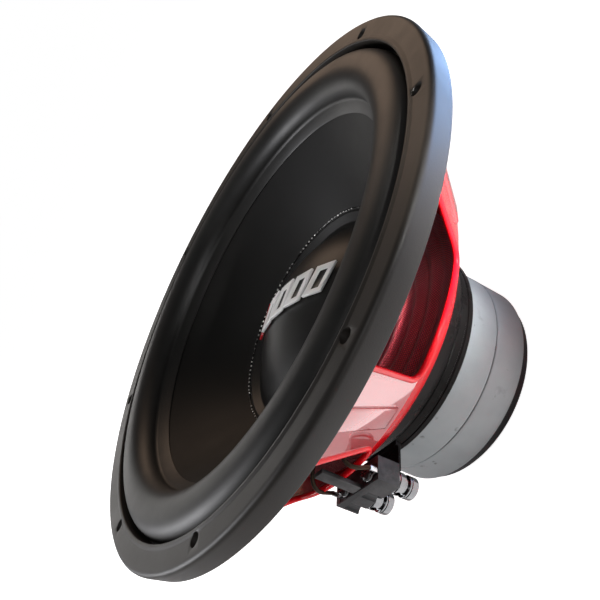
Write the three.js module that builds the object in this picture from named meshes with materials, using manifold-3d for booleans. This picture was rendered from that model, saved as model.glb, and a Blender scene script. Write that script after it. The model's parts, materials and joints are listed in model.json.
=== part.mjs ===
// A 12-inch car subwoofer standing on its magnet, millimetres, +Z along the speaker's axis.
// z = 0 is the underside of the back plate. Radii are measured from the axis.
import * as THREE from "three";
import { mergeVertices } from "three/addons/utils/BufferGeometryUtils.js";
import Module from "manifold-3d";

const wasm = await Module();
wasm.setup();

// Clearances
const seatGap = 0.3; // between pieces that rest on or beside each other
const glueGap = 0.15; // between nested round pieces that are glued

// Facets round a full turn
const bigRound = 48;
const midRound = 32;
const smallRound = 16;

// Voice coil, whose radius sets the bores of the motor
const formerRadius = 25.3;
const formerWall = 0.45;
const coilWall = 1.9;
const fullCoilLength = 30;
const coilInnerRadius = formerRadius + formerWall + glueGap;

// Motor
const yokeRadius = 57.5;
const yokeThickness = 7.2;
const yokeChamfer = 2;
const magnetRadius = 60.5;
const magnetThickness = 19.6;
const magnetChamfer = 0.8;
const topPlateRadius = 64;
const topPlateThickness = 10;
const topPlateChamfer = 1;
const coilGapRadius = coilInnerRadius + coilWall + 1.1;
const magnetBore = coilGapRadius + 3.1;
const poleRadius = formerRadius - 0.7;
const poleExtension = 2.5;
const ventRadius = 9;
const shortingRingHeight = 9;
const shortingRingWall = 4.5;

// Trim ring, whose outer radius carries the flange and the surround with it
const trimOuterRadius = 157;
const trimInnerRadius = trimOuterRadius - 15.5;
const trimHeight = 10.4;
const trimSkirt = 1.6;
const trimDraft = 1.9; // the skirt's foot inside the outer radius
const trimCrown = 0.6;
const trimFillet = 2.4;
const trimHoleRadius = 4.2;
const boltCircleRadius = trimOuterRadius - 10;
const boltCount = 8;

// Basket
const basketDepth = 85.1; // seat on the top plate to the rear of the flange
const steelThickness = 1.6;
const flangeRadius = trimOuterRadius - trimDraft - trimSkirt - seatGap;
const flangeInnerRadius = trimInnerRadius - 2;
const flangeHoleRadius = 2.8;
const cupRadius = topPlateRadius + 3;
const cupInnerRadius = coilGapRadius + 15.1;
const ledgeInnerRadius = cupRadius + 9.5;
const ledgeOuterRadius = ledgeInnerRadius + 8;
const ledgeDepth = 66.5;
const windowSillRadius = ledgeOuterRadius + 14;
const windowSillDepth = 53.7; // below the rear of the flange
const spokeCount = 6;
const spokePhase = 16; // degrees
const spokeWidth = 22; // degrees
const windowTopDepth = 6;
const windowCorner = 8;
const ribWidth = 12;
const ribHeight = 1.4;

// Surround
const rollOuterRadius = trimInnerRadius - 1.7;
const rollWidth = 26.4;
const rollInnerRadius = rollOuterRadius - rollWidth;
const rollRise = 12.3;
const rollFacets = 7;
const rubberThickness = 0.9;
const surroundLipRadius = trimInnerRadius + 1.8;

// Cone, from under the surround's inner lip down to the spider
const coneThickness = 1.4;
const coneOuterRadius = rollInnerRadius - 0.6;
const coneLipRadius = coneOuterRadius - 5.4;
const coneRimRise = 1.7; // cone's rim above the rear of the flange
const neckClearance = 2.6; // cone's inner edge to the former
const neckRise = 2.96; // cone's inner edge above the spider

// Dust cap
const capRadius = 65;
const capFootWidth = 6.5;
const capThickness = 1.0;
const domeRise = 20.5;
const beadRadius = 0.7;

// Spider
const spiderThickness = 0.8;
const spiderRolls = 4;
const spiderWave = 1.9;

// Badge on the dust cap
const badgeBearing = -54; // direction of its row, degrees
const badgeBars = 4;
const badgeBarWidth = 13;
const badgeAccentWidth = 6;
const badgeBarHeight = 18;
const badgeGap = 2.6;
const badgeSlant = 7;
const badgeThickness = 1.6;
const badgeOffset = 3;

// Terminal
const terminalBearing = -133; // degrees
const postRadius = 5.8;
const postCoreRadius = postRadius - 1.2;
const postBore = postCoreRadius - 2;
const postCollar = 5.2;
const postLength = 12;
const postSpacing = 19;
const postShift = 4;
const wireHoleRadius = 1.6;
const stemRadius = 1.2;
const blockWidth = 2 * postRadius + 1.4; // radial
const blockLength = 34;
const blockShift = 3;
const blockHeight = 13; // axial
const blockInnerRadius = ledgeOuterRadius + 4;
const blockDrop = 64.2; // top of the block below the rear of the flange
const postRecess = 5;
const notchRadius = 3;
const capTravel = 2;
const pushCapWall = 1.0;
const pushCapLength = 5.4;
const springWire = 0.45;
const springTurns = 4;
const lugScrewRadius = 3.6;
const leadRadius = 1.1;
const leadOffset = 7;
const eyeletRadiusFromAxis = capRadius - 11;

// Heights worked up from the back plate
const zRearMagnet = yokeThickness + seatGap;
const zFrontMagnet = zRearMagnet + magnetThickness + seatGap;
const zTopPlate = zFrontMagnet + magnetThickness + seatGap;
const zTopPlateFace = zTopPlate + topPlateThickness;
const zBasket = zTopPlateFace + seatGap;
const zFlange = zBasket + basketDepth;
const zFlangeFace = zFlange + steelThickness;
const zTrimSeat = zFlangeFace + seatGap;
const zTrimFace = zTrimSeat + trimHeight;
const spiderZ = zFlange - ledgeDepth + steelThickness + seatGap;
const zCoilMiddle = zTopPlate + topPlateThickness / 2;
const coilRoom = spiderZ - spiderWave - spiderThickness - zCoilMiddle;
const coilLength = Math.min(fullCoilLength, 2 * coilRoom - 4);
const zConeRim = zFlange + coneRimRise;
const zConeNeck = spiderZ + neckRise;
const neckRadius = formerRadius + formerWall + neckClearance;
const coneSlope = (zConeRim - zConeNeck) / (coneOuterRadius - neckRadius);
const coneHeight = (radius) => zConeRim - coneSlope * (coneOuterRadius - radius);

const rad = THREE.MathUtils.degToRad;
const root = new THREE.Group();

// ---- solids -------------------------------------------------------------------------------

function solidOf(geometry) {
  const plain = geometry.clone();
  plain.deleteAttribute("normal");
  plain.deleteAttribute("uv");
  const merged = mergeVertices(plain, 1e-4);
  return new wasm.Manifold(
    new wasm.Mesh({
      numProp: 3,
      vertProperties: merged.attributes.position.array,
      triVerts: new Uint32Array(merged.index.array),
    }),
  );
}

function geometryOf(solid) {
  const mesh = solid.getMesh();
  const geometry = new THREE.BufferGeometry();
  geometry.setAttribute("position", new THREE.BufferAttribute(mesh.vertProperties, 3));
  geometry.setIndex(new THREE.BufferAttribute(mesh.triVerts, 1));
  geometry.computeVertexNormals();
  return geometry;
}

function subtractAll(geometry, cutters) {
  let solid = solidOf(geometry);
  for (const cutter of cutters) solid = solid.subtract(solidOf(cutter));
  return geometryOf(solid);
}

// Turns a closed [radius, z] outline about the axis. The outline may start and end on the axis.
function turned(outline, segments) {
  let area = 0;
  outline.forEach(([r, z], i) => {
    const [nextR, nextZ] = outline[(i + 1) % outline.length];
    area += r * nextZ - nextR * z;
  });
  const ordered = area > 0 ? [...outline] : [...outline].reverse();
  const onAxis = ordered[0][0] === 0;
  if (!onAxis) ordered.push(ordered[0]);
  const points = ordered.map(([r, z]) => new THREE.Vector2(r, z));
  return new THREE.LatheGeometry(points, segments).rotateX(Math.PI / 2);
}

// A sheet's outline: the path, and the same path moved square to itself by the thickness.
function sheetOutline(path, thickness) {
  const offset = path.map((point, i) => {
    const before = path[Math.max(i - 1, 0)];
    const after = path[Math.min(i + 1, path.length - 1)];
    const normals = [];
    if (i > 0) normals.push(unitNormal(before, point));
    if (i < path.length - 1) normals.push(unitNormal(point, after));
    const sum = normals.reduce((a, n) => [a[0] + n[0], a[1] + n[1]], [0, 0]);
    const length = Math.hypot(...sum);
    const mitre = thickness / (length / normals.length);
    return [point[0] + (sum[0] / length) * mitre, point[1] + (sum[1] / length) * mitre];
  });
  return [...path, ...offset.reverse()];
}

function unitNormal(a, b) {
  const length = Math.hypot(b[0] - a[0], b[1] - a[1]);
  return [(b[1] - a[1]) / length, -(b[0] - a[0]) / length];
}

function rod(radius, fromZ, toZ, x = 0, y = 0, segments = smallRound) {
  const geometry = new THREE.CylinderGeometry(radius, radius, toZ - fromZ, segments);
  return geometry.rotateX(Math.PI / 2).translate(x, y, (fromZ + toZ) / 2);
}

function box(fromX, toX, fromY, toY, fromZ, toZ) {
  const geometry = new THREE.BoxGeometry(toX - fromX, toY - fromY, toZ - fromZ);
  return geometry.translate((fromX + toX) / 2, (fromY + toY) / 2, (fromZ + toZ) / 2);
}

function add(name, geometry, colour, roughness, metalness, parent = root) {
  const material = new THREE.MeshStandardMaterial({ color: colour, roughness, metalness });
  const mesh = new THREE.Mesh(geometry, material);
  mesh.name = name;
  parent.add(mesh);
  return mesh;
}

function aroundCircle(count, radius, phase = 0) {
  return Array.from({ length: count }, (_, i) => {
    const angle = rad(phase) + (2 * Math.PI * i) / count;
    return [radius * Math.cos(angle), radius * Math.sin(angle), angle];
  });
}

// ---- motor --------------------------------------------------------------------------------

function yoke() {
  return turned(
    [
      [ventRadius, 0],
      [yokeRadius - yokeChamfer, 0],
      [yokeRadius, yokeChamfer],
      [yokeRadius, yokeThickness],
      [poleRadius, yokeThickness],
      [poleRadius, zTopPlateFace + poleExtension],
      [ventRadius, zTopPlateFace + poleExtension],
    ],
    midRound,
  );
}

function magnet(fromZ) {
  const toZ = fromZ + magnetThickness;
  return turned(
    [
      [magnetBore, fromZ],
      [magnetRadius - magnetChamfer, fromZ],
      [magnetRadius, fromZ + magnetChamfer],
      [magnetRadius, toZ - magnetChamfer],
      [magnetRadius - magnetChamfer, toZ],
      [magnetBore, toZ],
    ],
    bigRound,
  );
}

const plateScrewCircle = (cupRadius + cupInnerRadius) / 2;
const plateScrewRadius = 2;
const plateScrewHead = 4;
const plateScrewDepth = 7;

function plateHoles(clearance) {
  return aroundCircle(spokeCount, plateScrewCircle, spokePhase).map(([x, y]) =>
    rod(plateScrewRadius + clearance, zTopPlateFace - plateScrewDepth - 1, zBasket + 10, x, y, 8),
  );
}

function topPlate() {
  const plate = turned(
    [
      [coilGapRadius, zTopPlate],
      [topPlateRadius - topPlateChamfer, zTopPlate],
      [topPlateRadius, zTopPlate + topPlateChamfer],
      [topPlateRadius, zTopPlateFace - topPlateChamfer],
      [topPlateRadius - topPlateChamfer, zTopPlateFace],
      [coilGapRadius, zTopPlateFace],
    ],
    bigRound,
  );
  return subtractAll(plate, plateHoles(seatGap));
}

function plateScrew(x, y) {
  const headZ = zBasket + steelThickness + seatGap;
  const screw = turned(
    [
      [0, zTopPlateFace - plateScrewDepth],
      [plateScrewRadius, zTopPlateFace - plateScrewDepth],
      [plateScrewRadius, headZ],
      [plateScrewHead, headZ],
      [plateScrewHead, headZ + 1.4],
      [plateScrewHead - 1.2, headZ + 2.4],
      [0, headZ + 2.4],
    ],
    8,
  );
  return screw.translate(x, y, 0);
}

function motor() {
  add("yoke", yoke(), 0x202124, 0.55, 0.6);
  add("rear_magnet", magnet(zRearMagnet), 0x7b8185, 0.6, 0.2);
  add("front_magnet", magnet(zFrontMagnet), 0x7b8185, 0.6, 0.2);
  add("top_plate", topPlate(), 0x0b0b0c, 0.35, 0.5);
  const ringZ = yokeThickness + seatGap;
  const ringBore = poleRadius + glueGap;
  add(
    "shorting_ring",
    turned(
      [
        [ringBore, ringZ],
        [ringBore + shortingRingWall, ringZ],
        [ringBore + shortingRingWall, ringZ + shortingRingHeight],
        [ringBore, ringZ + shortingRingHeight],
      ],
      midRound,
    ),
    0xb9bcc0,
    0.35,
    1,
  );
  add("vent_screen", ventScreen(), 0x26272a, 0.5, 0.8);
  aroundCircle(spokeCount, plateScrewCircle, spokePhase).forEach(([x, y], i) => {
    add("plate_screw_" + (i + 1), plateScrew(x, y), 0x8f9296, 0.3, 1);
  });
}

// A thin disc with a ring of holes, across the vent near the back plate.
function ventScreen() {
  const radius = ventRadius - seatGap;
  const z = yokeThickness / 2;
  const holes = aroundCircle(6, radius * 0.58).map(([x, y]) => rod(1.5, z - 1, z + 2, x, y, 8));
  return subtractAll(rod(radius, z, z + 0.8, 0, 0, midRound), [rod(1.5, z - 1, z + 2, 0, 0, 8), ...holes]);
}

// ---- basket -------------------------------------------------------------------------------

// The sheet's outer side, from the flange's edge down to the cup's bore.
function basketPath() {
  return [
    [flangeRadius, zFlange],
    [flangeInnerRadius, zFlange],
    [windowSillRadius, zFlange - windowSillDepth],
    [ledgeOuterRadius, zFlange - ledgeDepth],
    [ledgeInnerRadius, zFlange - ledgeDepth - 0.8],
    [cupRadius + 2.5, zBasket + 4.5],
    [cupRadius - 1, zBasket],
    [cupInnerRadius, zBasket],
  ];
}

// Radius of the spokes' outer side at a depth below the flange.
function spokeRadius(depth) {
  return flangeInnerRadius - ((flangeInnerRadius - windowSillRadius) * depth) / windowSillDepth;
}

// A tapered opening with round corners, pushed out through the wall at a bearing.
function windowCutter(bearing) {
  const half = rad(180 / spokeCount - spokeWidth / 2);
  const sill = zFlange - windowSillDepth;
  const top = zFlange - windowTopDepth;
  const low = windowSillRadius * Math.sin(half);
  const high = spokeRadius(windowTopDepth) * Math.sin(half);
  const outline = roundedShape(
    [
      [-low, sill],
      [low, sill],
      [high, top],
      [-high, top],
    ],
    windowCorner,
  );
  const geometry = new THREE.ExtrudeGeometry(outline, { depth: 75, bevelEnabled: false, curveSegments: 3 });
  // shape x -> tangent, shape y -> z, depth -> outwards
  geometry.applyMatrix4(
    new THREE.Matrix4().makeBasis(
      new THREE.Vector3(0, 1, 0),
      new THREE.Vector3(0, 0, 1),
      new THREE.Vector3(1, 0, 0),
    ),
  );
  return geometry.translate(75, 0, 0).rotateZ(rad(bearing));
}

function roundedShape(corners, radius) {
  const shape = new THREE.Shape();
  corners.forEach((corner, i) => {
    const before = new THREE.Vector2(...corners[(i + corners.length - 1) % corners.length]);
    const here = new THREE.Vector2(...corner);
    const after = new THREE.Vector2(...corners[(i + 1) % corners.length]);
    const start = here.clone().add(before.sub(here).setLength(radius));
    const end = here.clone().add(after.sub(here).setLength(radius));
    if (i === 0) shape.moveTo(start.x, start.y);
    else shape.lineTo(start.x, start.y);
    shape.quadraticCurveTo(here.x, here.y, end.x, end.y);
  });
  shape.closePath();
  return shape;
}

// A raised bar pressed into a spoke's outer side, square to the wall.
function spokeRib(bearing) {
  const from = 12;
  const to = windowSillDepth - 5;
  const length = Math.hypot(to - from, spokeRadius(from) - spokeRadius(to));
  const tilt = Math.atan2(spokeRadius(from) - spokeRadius(to), to - from);
  const rib = new THREE.BoxGeometry(ribHeight * 2, ribWidth, length);
  rib.rotateY(tilt);
  rib.translate((spokeRadius(from) + spokeRadius(to)) / 2, 0, zFlange - (from + to) / 2);
  return rib.rotateZ(rad(bearing));
}

function basket() {
  let solid = solidOf(turned(sheetOutline(basketPath(), steelThickness), bigRound));
  for (let i = 0; i < spokeCount; i++) {
    const bearing = spokePhase + (360 / spokeCount) * i;
    solid = solid.add(solidOf(spokeRib(bearing)));
    solid = solid.subtract(solidOf(windowCutter(bearing + 180 / spokeCount)));
  }
  for (const [x, y] of aroundCircle(boltCount, boltCircleRadius)) {
    solid = solid.subtract(solidOf(rod(flangeHoleRadius, zFlange - 1, zFlangeFace + 1, x, y, 12)));
  }
  for (const hole of plateHoles(seatGap)) solid = solid.subtract(solidOf(hole));
  return geometryOf(solid);
}

function trimRing() {
  const pocketRadius = surroundLipRadius + 0.4;
  const pocketZ = zTrimSeat + rubberThickness + seatGap;
  const skirtRadius = flangeRadius + seatGap;
  const skirtZ = zFlange + seatGap;
  const ring = turned(
    [
      [trimInnerRadius, pocketZ],
      [pocketRadius, pocketZ],
      [pocketRadius, zTrimSeat],
      [skirtRadius, zTrimSeat],
      [skirtRadius, skirtZ],
      [trimOuterRadius - trimDraft, skirtZ],
      [trimOuterRadius, zTrimFace - trimFillet],
      [trimOuterRadius - trimFillet * 0.3, zTrimFace - trimFillet * 0.3],
      [trimOuterRadius - trimFillet, zTrimFace],
      [trimInnerRadius + 1.2, zTrimFace + trimCrown],
      [trimInnerRadius, zTrimFace + trimCrown - 1],
    ],
    bigRound,
  );
  const holes = aroundCircle(boltCount, boltCircleRadius).map(([x, y]) =>
    rod(trimHoleRadius, zTrimSeat - 1, zTrimFace + 2, x, y, 16),
  );
  return subtractAll(ring, holes);
}

// ---- suspension ---------------------------------------------------------------------------

function surround() {
  const lipZ = zTrimSeat + rubberThickness;
  const innerZ = coneHeight(rollInnerRadius) + seatGap + rubberThickness;
  const centre = (rollOuterRadius + rollInnerRadius) / 2;
  const half = (rollOuterRadius - rollInnerRadius) / 2;
  const roll = Array.from({ length: rollFacets }, (_, i) => {
    const angle = (Math.PI * (i + 0.5)) / rollFacets;
    const base = lipZ + ((innerZ - lipZ) * (i + 0.5)) / rollFacets;
    return [centre + half * Math.cos(angle), base + rollRise * Math.sin(angle)];
  });
  const path = [
    [surroundLipRadius, lipZ],
    [rollOuterRadius, lipZ],
    ...roll,
    [rollInnerRadius, innerZ],
    [coneLipRadius, coneHeight(coneLipRadius) + seatGap + rubberThickness],
  ];
  return turned(sheetOutline(path, -rubberThickness), bigRound);
}

function spider() {
  const outer = ledgeOuterRadius - 1.2;
  const foot = ledgeInnerRadius + 1.2;
  const inner = coilInnerRadius + 0.15;
  const step = (foot - inner - 4) / (2 * spiderRolls);
  const waves = Array.from({ length: 2 * spiderRolls - 1 }, (_, i) => {
    const side = i % 2 ? -1 : 1;
    return [foot - step * (i + 1), spiderZ + spiderThickness / 2 + side * spiderWave];
  });
  const path = [
    [outer, spiderZ],
    [foot, spiderZ],
    ...waves,
    [inner + 4, spiderZ],
    [inner, spiderZ],
  ];
  return turned(sheetOutline(path, spiderThickness), midRound);
}

// ---- moving assembly ----------------------------------------------------------------------

function cone() {
  const path = [
    [coneOuterRadius, coneHeight(coneOuterRadius)],
    [neckRadius, coneHeight(neckRadius)],
  ];
  return turned(sheetOutline(path, -coneThickness), bigRound);
}

const capFootInner = capRadius - capFootWidth;
const domeBaseZ = coneHeight(capFootInner) + seatGap + capThickness;
const domeTopZ = domeBaseZ + domeRise;
const domeSphere = (capFootInner ** 2 + domeRise ** 2) / (2 * domeRise);
const domeHeight = (radius) => domeTopZ - domeSphere + Math.sqrt(domeSphere ** 2 - radius ** 2);

function dustCap() {
  const lift = seatGap + capThickness;
  const path = [
    [capRadius, coneHeight(capRadius) + lift],
    [capFootInner + 1, coneHeight(capFootInner + 1) + lift],
    [capFootInner - 2.5, domeHeight(capFootInner - 2.5)],
    [46, domeHeight(46)],
    [34, domeHeight(34)],
    [22, domeHeight(22)],
    [10, domeHeight(10)],
    [0, domeTopZ],
  ];
  const under = path.map(([r, z]) => [r, z - capThickness]).reverse();
  const outline = [...under, ...path.slice(0, -1), [0, domeTopZ]];
  return turned(outline, midRound);
}

function capBead() {
  const radius = capRadius + beadRadius + 0.5;
  const z = coneHeight(radius) + beadRadius + 0.5;
  const outline = Array.from({ length: 6 }, (_, i) => {
    const angle = (Math.PI * i) / 3;
    return [radius + beadRadius * Math.cos(angle), z + beadRadius * Math.sin(angle)];
  });
  return turned(outline, midRound);
}

// A slanted bar that lies on the dome, its foot tangent to it at the bar's own middle.
function badgeBar(width, along) {
  const half = width / 2;
  const tall = badgeBarHeight / 2;
  const outline = new THREE.Shape();
  outline.moveTo(-half - badgeSlant / 2, -tall);
  outline.lineTo(half - badgeSlant / 2, -tall);
  outline.lineTo(half + badgeSlant / 2, tall);
  outline.lineTo(-half + badgeSlant / 2, tall);
  outline.closePath();
  const bar = new THREE.ExtrudeGeometry(outline, { depth: badgeThickness, bevelEnabled: false });
  const radius = Math.hypot(along, badgeOffset);
  bar.rotateY(Math.asin(along / domeSphere));
  bar.rotateX(-Math.asin(badgeOffset / domeSphere));
  bar.translate(along, badgeOffset, domeHeight(radius) + seatGap * 2);
  return bar.rotateZ(rad(badgeBearing));
}

function badge() {
  const length = badgeBars * badgeBarWidth + badgeAccentWidth + badgeBars * badgeGap;
  let along = -length / 2 + badgeAccentWidth / 2;
  add("badge_accent", badgeBar(badgeAccentWidth, along), 0xb01018, 0.3, 0.1);
  along += badgeAccentWidth / 2 + badgeGap + badgeBarWidth / 2;
  for (let i = 1; i <= badgeBars; i++) {
    add("badge_bar_" + i, badgeBar(badgeBarWidth, along), 0xdcdedf, 0.35, 0.7);
    along += badgeBarWidth + badgeGap;
  }
}

function movingAssembly() {
  add("cone", cone(), 0x131314, 0.6, 0);
  add("dust_cap", dustCap(), 0x161616, 0.45, 0);
  add("cap_bead", capBead(), 0x2a2a2a, 0.3, 0);
  badge();
  const coilFrom = zCoilMiddle - coilLength / 2;
  const formerFrom = coilFrom - 1.5;
  const formerTo = zConeNeck + 4.7;
  const tube = (inner, wall, fromZ, toZ) =>
    turned(
      [
        [inner, fromZ],
        [inner + wall, fromZ],
        [inner + wall, toZ],
        [inner, toZ],
      ],
      midRound,
    );
  add("former", tube(formerRadius, formerWall, formerFrom, formerTo), 0xc9a06a, 0.5, 0.1);
  add("voice_coil", tube(coilInnerRadius, coilWall, coilFrom, coilFrom + coilLength), 0xb5622c, 0.35, 0.9);
  const jointWidth = neckClearance + 2;
  const jointZ = coneHeight(neckRadius) + seatGap;
  add(
    "neck_joint",
    turned(
      [
        [coilInnerRadius, jointZ],
        [neckRadius, jointZ],
        [coilInnerRadius + jointWidth, coneHeight(coilInnerRadius + jointWidth) + seatGap],
        [coilInnerRadius, jointZ + 3.4],
      ],
      midRound,
    ),
    0x17120c,
    0.4,
    0,
  );
}

// ---- terminal -----------------------------------------------------------------------------

// Local frame of the terminal: x outwards, y along the block (towards smaller bearings' end), z up.
const terminal = new THREE.Group();
terminal.rotation.z = rad(terminalBearing);
const zBlockTop = zFlange - blockDrop;
const zBlockFoot = zBlockTop - blockHeight;
const blockFrom = blockShift - blockLength / 2;
const blockTo = blockShift + blockLength / 2;
const postX = blockInnerRadius + blockWidth - postRadius - 0.6;
const postYs = { a: postShift + postSpacing / 2, b: postShift - postSpacing / 2 };
const lugX = blockInnerRadius + blockWidth - lugScrewRadius - 1;
const zPostFoot = zBlockFoot - postLength;
const zCapOpen = zBlockFoot - postCollar - capTravel - seatGap;
const zCapEnd = zCapOpen - pushCapLength;
const zCapFloor = zCapEnd + pushCapWall;
const zPostCoreEnd = zCapFloor + capTravel + seatGap;
const zStemTip = zPostFoot + 5;
const zPostBoreEnd = zBlockFoot - 1;

function terminalBlock() {
  const outer = blockInnerRadius + blockWidth;
  const body = box(blockInnerRadius, outer, blockFrom, blockTo, zBlockFoot, zBlockTop);
  const cutters = [];
  for (const y of Object.values(postYs)) {
    cutters.push(rod(postRadius + seatGap, zBlockFoot - 1, zBlockFoot + postRecess, postX, y));
    cutters.push(rod(1.6, zBlockTop - 6, zBlockTop + 1, lugX, y, 12));
  }
  for (const y of [blockFrom + 4.2, postShift]) {
    cutters.push(rod(notchRadius, zBlockFoot - 1, zBlockTop - 4, outer, y, 16));
  }
  return subtractAll(body, cutters);
}

// Chrome post: a collar with the wire hole, then a narrower core that the push cap slides over.
function post(y) {
  const seat = zBlockFoot + postRecess - seatGap;
  const collarEnd = zBlockFoot - postCollar;
  const body = turned(
    [
      [0, seat],
      [postRadius, seat],
      [postRadius, collarEnd],
      [postCoreRadius, collarEnd],
      [postCoreRadius, zPostCoreEnd],
      [postBore, zPostCoreEnd],
      [postBore, zPostBoreEnd],
      [0, zPostBoreEnd],
    ],
    smallRound,
  ).translate(postX, y, 0);
  const wireHole = rod(wireHoleRadius, -10, 10, 0, 0, 10);
  wireHole.rotateY(Math.PI / 2).translate(postX, y, zBlockFoot - postCollar / 2);
  return subtractAll(body, [wireHole]);
}

function pushCap(y) {
  const bore = postCoreRadius + 0.2;
  const cap = turned(
    [
      [0, zCapEnd],
      [postRadius - 0.8, zCapEnd],
      [postRadius, zCapEnd + 0.8],
      [postRadius, zCapOpen],
      [bore, zCapOpen],
      [bore, zCapFloor],
      [stemRadius, zCapFloor],
      [stemRadius, zStemTip],
      [0, zStemTip],
    ],
    smallRound,
  );
  return cap.translate(postX, y, 0);
}

// A coil spring round the stem, between the cap's floor and the end of the post's bore.
function pushSpring(y) {
  const fromZ = zCapFloor + springWire + seatGap;
  const toZ = zPostBoreEnd - springWire - seatGap;
  const radius = (stemRadius + postBore) / 2;
  class Helix extends THREE.Curve {
    getPoint(t, target = new THREE.Vector3()) {
      const angle = 2 * Math.PI * springTurns * t;
      return target.set(radius * Math.cos(angle), radius * Math.sin(angle), fromZ + (toZ - fromZ) * t);
    }
  }
  const wire = new THREE.Shape();
  wire.absarc(0, 0, springWire, 0, 2 * Math.PI);
  const spring = new THREE.ExtrudeGeometry(wire, {
    steps: springTurns * 7,
    curveSegments: 3,
    bevelEnabled: false,
    extrudePath: new Helix(),
  });
  return spring.translate(postX, y, 0);
}

// A flat eye on the block's top with an upturned tail at its outer end along the block.
function lug(y) {
  const z = zBlockTop + seatGap;
  const side = Math.sign(y - postShift);
  const tip = y + side * 6.4;
  const inset = tip - side * 0.8;
  const span = (a, b) => [Math.min(a, b), Math.max(a, b)];
  const eye = solidOf(rod(3.4, z, z + 0.8, lugX, y, 16));
  const tail = solidOf(box(lugX - 1.3, lugX + 1.3, ...span(y, tip), z, z + 0.8));
  const rise = solidOf(box(lugX - 1.3, lugX + 1.3, ...span(inset, tip), z, z + 4));
  const hole = solidOf(rod(1.6, z - 1, z + 2, lugX, y, 12));
  return geometryOf(eye.add(tail).add(rise).subtract(hole));
}

function lugScrew(y) {
  const seat = zBlockTop + seatGap * 2 + 0.8;
  return turned(
    [
      [0, zBlockTop - 5],
      [1.3, zBlockTop - 5],
      [1.3, seat],
      [lugScrewRadius, seat],
      [lugScrewRadius, seat + 1.6],
      [lugScrewRadius - 1, seat + 2.6],
      [0, seat + 2.6],
    ],
    16,
  ).translate(lugX, y, 0);
}

// Steel tab behind the block, its foot on the basket's lower bowl.
function bracket() {
  const plateX = blockInnerRadius - seatGap - steelThickness;
  const footZ = zBasket + 2.6;
  const footX = cupRadius + 2.5 + 1.6;
  const plate = solidOf(box(plateX, plateX + steelThickness, -9, 15, footZ, zBlockTop - 3.5));
  const foot = solidOf(box(footX, plateX + steelThickness, -9, 15, footZ, footZ + steelThickness));
  const weld = solidOf(box(footX, footX + 3, -9, 15, footZ, footZ + 3.2));
  const keepClear = solidOf(turned(basketKeepOut(), bigRound).rotateZ(rad(-terminalBearing)));
  return geometryOf(plate.add(foot).add(weld).subtract(keepClear));
}

// The basket's lower bowl grown by the seating gap, as one solid of revolution.
function basketKeepOut() {
  const lower = basketPath().slice(2);
  const grown = lower.map(([r, z]) => [r + seatGap * 1.6, z]);
  const bottom = grown[grown.length - 1];
  const foot = bottom[1] - seatGap;
  return [[0, foot], [bottom[0], foot], ...grown.reverse().slice(1), [0, grown[0][1]]];
}

function bracketScrew() {
  const x = blockInnerRadius - seatGap;
  const y = postShift;
  const z = zBlockFoot + blockHeight / 2;
  const head = rod(2.6, 0, 1.5, 0, 0, 12);
  head.rotateY(-Math.PI / 2);
  return head.translate(x - steelThickness - seatGap, y, z);
}

// Flat insulating strip that carries the leads up from the block.
function leadStrip() {
  const z = zBlockTop + seatGap;
  const outer = blockInnerRadius + blockWidth - seatGap;
  return box(outer - 2.4, outer, postShift - 3.4, postShift + 3.4, z, z + 23);
}

// A braided lead: up from its lug, through the window and in to the cone's underside.
function tinselLead(y) {
  const lugTop = zBlockTop + 4 + seatGap * 3;
  const eyeletZ = coneHeight(eyeletRadiusFromAxis) - coneThickness * 1.25 - 1.6;
  const side = Math.sign(y - postShift);
  const points = [
    [lugX, y + side * 6, lugTop],
    [lugX + 3.4, y + side * 5, lugTop + 8],
    [lugX - 2, y + side * 3, lugTop + 14],
    [lugX - 20, y, lugTop + 14],
    [eyeletRadiusFromAxis + 9, leadOffset * side, eyeletZ - 7],
    [eyeletRadiusFromAxis, leadOffset * side, eyeletZ - 2],
  ].map((p) => new THREE.Vector3(...p));
  const section = new THREE.Shape();
  section.absarc(0, 0, leadRadius, 0, 2 * Math.PI);
  return new THREE.ExtrudeGeometry(section, {
    steps: 18,
    curveSegments: 3,
    bevelEnabled: false,
    extrudePath: new THREE.CatmullRomCurve3(points),
  });
}

function leadEyelet(side) {
  const z = coneHeight(eyeletRadiusFromAxis) - coneThickness * 1.25 - 1.6;
  return rod(2, z - 1.2, z + 0.2, eyeletRadiusFromAxis, leadOffset * side, 14);
}

function terminalAssembly() {
  root.add(terminal);
  add("terminal_block", terminalBlock(), 0x2b2c2e, 0.45, 0, terminal);
  add("terminal_bracket", bracket(), 0xb8121c, 0.25, 0.3, terminal);
  add("bracket_screw", bracketScrew(), 0x8f9296, 0.3, 1, terminal);
  add("lead_strip", leadStrip(), 0x2f3032, 0.5, 0, terminal);
  for (const [tag, y] of Object.entries(postYs)) {
    add("post_" + tag, post(y), 0xd6d8da, 0.1, 1, terminal);
    add("push_cap_" + tag, pushCap(y), 0xd6d8da, 0.1, 1, terminal);
    add("push_spring_" + tag, pushSpring(y), 0x9a9c9f, 0.3, 1, terminal);
    add("lug_" + tag, lug(y), 0xb9a25a, 0.3, 1, terminal);
    add("lug_screw_" + tag, lugScrew(y), 0x1b1b1d, 0.3, 0.8, terminal);
    add("tinsel_lead_" + tag, tinselLead(y), 0x9c6b3a, 0.5, 0.6, terminal);
    add("lead_eyelet_" + tag, leadEyelet(Math.sign(y - postShift)), 0xc4b070, 0.3, 1, terminal);
  }
}

motor();
add("basket", basket(), 0xb8121c, 0.2, 0.3);
add("trim_ring", trimRing(), 0x1a1a1b, 0.6, 0);
add("surround", surround(), 0x111112, 0.6, 0);
add("spider", spider(), 0x7d1418, 0.9, 0);
movingAssembly();
terminalAssembly();

export default root;
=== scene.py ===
import json
import math

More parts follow.
